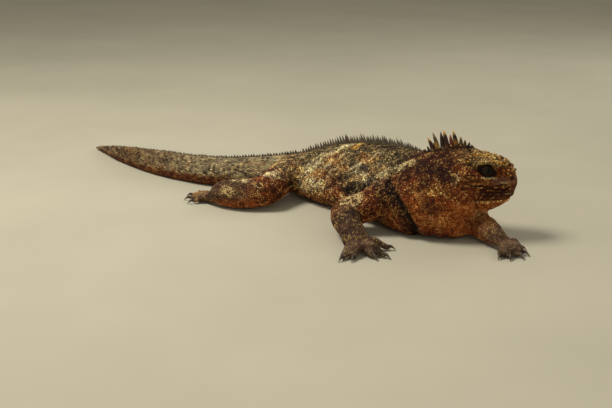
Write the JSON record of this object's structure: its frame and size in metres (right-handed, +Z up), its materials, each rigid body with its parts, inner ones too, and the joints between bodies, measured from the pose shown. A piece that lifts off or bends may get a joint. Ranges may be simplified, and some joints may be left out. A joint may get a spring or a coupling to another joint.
{
  "type": "marine iguana model",
  "caption": "Life-size still model of an adult marine iguana in a low walking stance, head turned, belly and tail on the floor, with a crest of spines from nape to tail.",
  "frame": {"origin": "on the floor under the middle of the model's box", "axes": "+X along the trunk towards the head, +Y towards the animal's left side, +Z up"},
  "size_m": [0.7795, 0.358, 0.127],
  "materials": {
    "skin": "dry, granular scaly hide, dark brown with rust, olive and yellow speckles; crest spines dark horn",
    "eye": "wet, glossy, dark brown iris",
    "claw": "smooth dark horn, worn at the tips"
  },
  "bodies": {
    "root": {"head": "skin", "lower_jaw": "skin", "neck": "skin", "trunk": "skin", "tail_1": "skin", "tail_2": "skin", "tail_3": "skin", "tail_4": "skin", "tail_5": "skin", "upper_arm_r": "skin", "forearm_r": "skin", "hand_r": "skin", "upper_arm_l": "skin", "forearm_l": "skin", "hand_l": "skin", "thigh_r": "skin", "shank_r": "skin", "foot_r": "skin", "thigh_l": "skin", "shank_l": "skin", "foot_l": "skin", "eye_r": "eye", "eye_l": "eye", "claw_hand_r_1": "claw", "claw_hand_r_2": "claw", "claw_hand_r_3": "claw", "claw_hand_r_4": "claw", "claw_hand_r_5": "claw", "claw_hand_l_1": "claw", "claw_hand_l_2": "claw", "claw_hand_l_3": "claw", "claw_hand_l_4": "claw", "claw_hand_l_5": "claw", "claw_foot_r_1": "claw", "claw_foot_r_2": "claw", "claw_foot_r_3": "claw", "claw_foot_r_4": "claw", "claw_foot_r_5": "claw", "claw_foot_l_1": "claw", "claw_foot_l_2": "claw", "claw_foot_l_3": "claw", "claw_foot_l_4": "claw", "claw_foot_l_5": "claw"}
  },
  "joints": []
}
